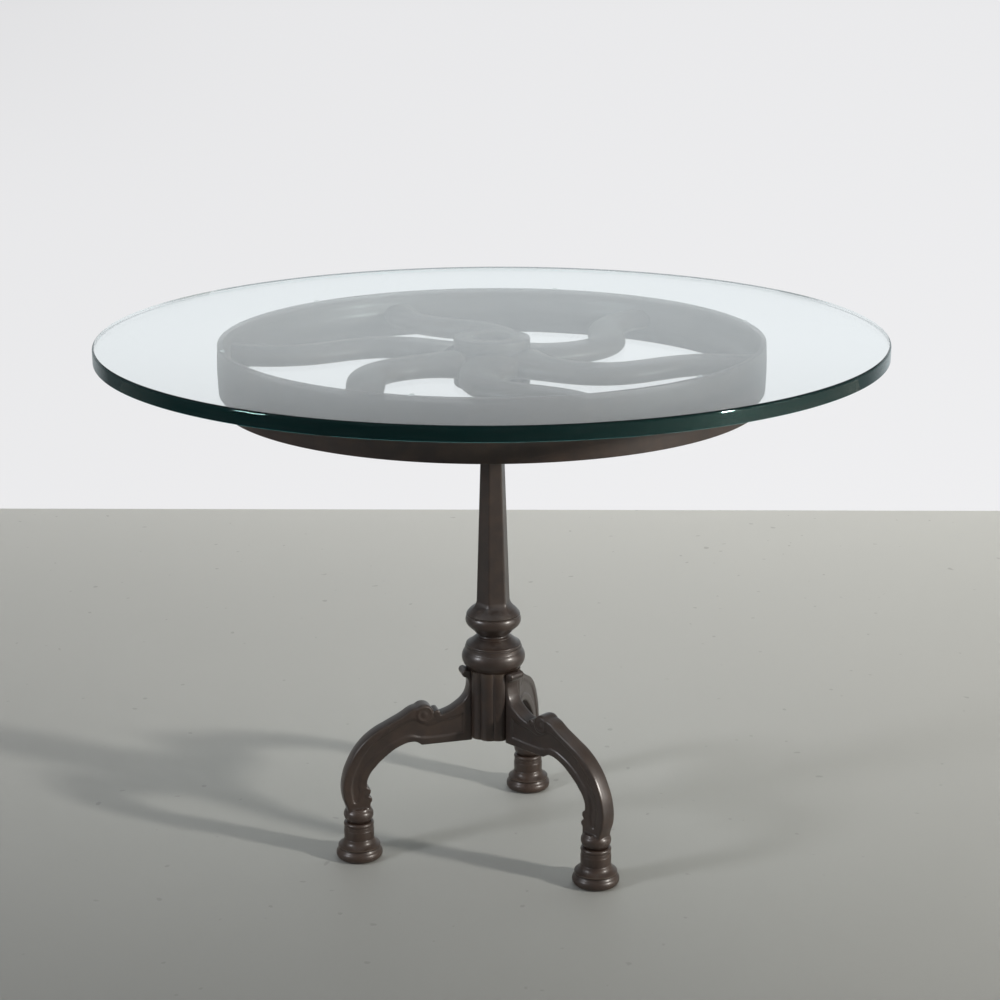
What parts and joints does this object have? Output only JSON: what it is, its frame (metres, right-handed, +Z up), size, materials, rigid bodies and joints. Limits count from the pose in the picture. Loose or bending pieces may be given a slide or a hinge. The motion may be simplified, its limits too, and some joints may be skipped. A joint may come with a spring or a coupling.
{
  "type": "pedestal table",
  "caption": "Round glass-topped pedestal table: a cast-iron flat-belt pulley wheel with S-shaped arms carries the glass, on a faceted column with scrolled legs and turned feet.",
  "frame": {"origin": "on the floor, on the column's axis", "axes": "+Z up along the column, the first leg points along -Y, the other two lie 120 degrees to each side"},
  "size_m": [1.067, 1.067, 0.7495],
  "materials": {
    "glass": "clear plate glass, polished flat edge that looks dark green",
    "clear_pad": "clear soft plastic bumper",
    "cast_iron": "dark brown-black waxed casting, rubbed lighter on rings and edges",
    "steel": "dull blackened steel"
  },
  "bodies": {
    "pedestal": {"glass_pad_1": "clear_pad", "glass_pad_2": "clear_pad", "glass_pad_3": "clear_pad", "glass_pad_4": "clear_pad", "glass_pad_5": "clear_pad", "glass_pad_6": "clear_pad", "pulley_wheel": "cast_iron", "hub_set_screw_1": "steel", "hub_set_screw_2": "steel", "column": "cast_iron", "tie_rod": "steel", "top_washer": "steel", "top_nut": "steel", "bottom_washer": "steel", "bottom_nut": "steel", "leg_hub": "cast_iron", "leg_1": "cast_iron", "leg_2": "cast_iron", "leg_3": "cast_iron", "foot_1": "cast_iron", "foot_2": "cast_iron", "foot_3": "cast_iron", "leg_plate": "steel", "plate_bolt_1": "steel", "plate_bolt_2": "steel", "plate_bolt_3": "steel"},
    "glass": {"glass_top": "glass"}
  },
  "joints": [
    {"name": "glass_lift", "type": "slide", "parent": "pedestal", "child": "glass", "axis": [0, 0, 1], "range_m": [0, 0.25]}
  ]
}
